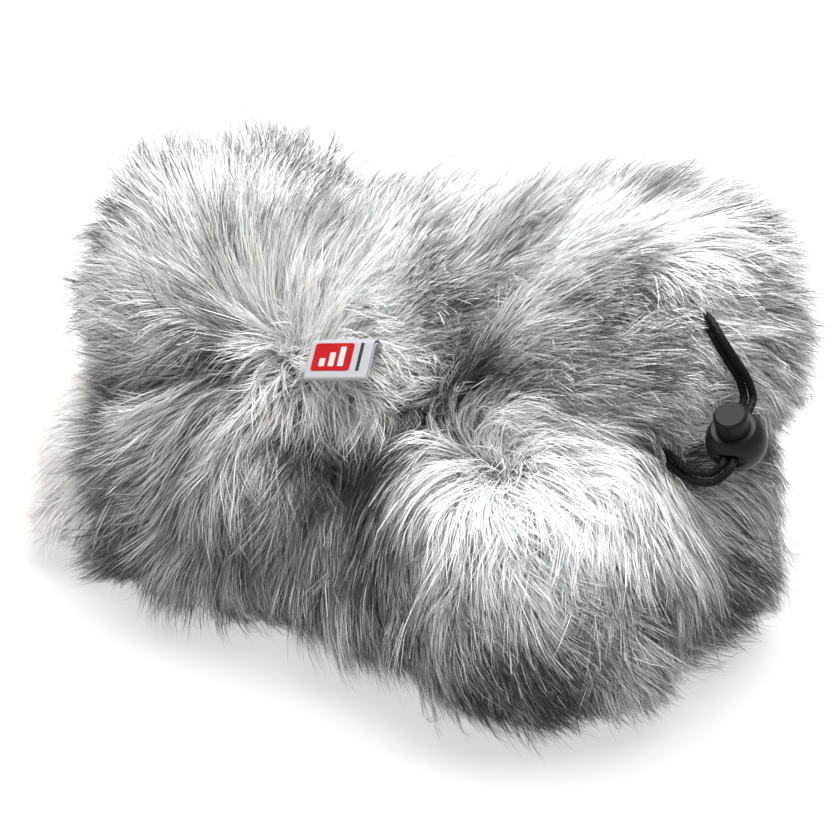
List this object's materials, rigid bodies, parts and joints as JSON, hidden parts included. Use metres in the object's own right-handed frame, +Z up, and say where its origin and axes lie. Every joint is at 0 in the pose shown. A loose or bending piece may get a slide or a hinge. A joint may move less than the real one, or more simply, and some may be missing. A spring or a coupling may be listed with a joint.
{
  "type": "furry windscreen",
  "caption": "Slip-over microphone windscreen: a long-pile fur bag with foam lining, drawcord mouth, sprung cord lock and a folded seam label.",
  "frame": {"origin": "centre of the fur bag's box at the surface it lies on; the cord lock hangs past the box", "axes": "+X out of the mouth end, along the bag; +Y towards its back; +Z up"},
  "size_m": [0.2435, 0.1389, 0.1378],
  "materials": {
    "fur": "long-pile faux fur, near-white body with grey and black tips",
    "seam": "overlocked grey thread",
    "foam": "open-cell foam",
    "tape": "woven binding tape",
    "cord": "braided elastic",
    "lock": "satin moulded",
    "spring": "drawn wire",
    "label": "woven satin tape with a plain red printed block",
    "stitch": "sewing thread"
  },
  "bodies": {
    "bag": {"fur_end_cap": "fur", "fur_top_panel": "fur", "fur_front_panel": "fur", "fur_bottom_panel": "fur", "fur_back_panel": "fur", "fur_mouth_collar": "fur", "seam_front_top": "seam", "seam_back_top": "seam", "seam_front_bottom": "seam", "seam_back_bottom": "seam", "seam_end": "seam", "seam_mouth": "seam", "foam_end": "foam", "foam_sleeve": "foam", "drawcord_channel": "tape", "drawcord_ring": "cord", "cord_strand_outer": "cord", "cord_strand_inner": "cord", "label_tape": "label", "label_stitches": "stitch"},
    "cord_lock": {"lock_body": "lock", "lock_spring": "spring"},
    "plunger": {"lock_plunger": "lock"}
  },
  "joints": [
    {"name": "lock_slide", "type": "slide", "parent": "bag", "child": "cord_lock", "axis": [-0.1736, 0.8775, 0.4471], "range_m": [0, 0.004]},
    {"name": "plunger_press", "type": "slide", "parent": "cord_lock", "child": "plunger", "axis": [0, 0.454, -0.891], "range_m": [0, 0.0032], "stiffness_N_per_m": 500, "springref_m": -0.001, "deforming": ["lock_spring"]}
  ]
}
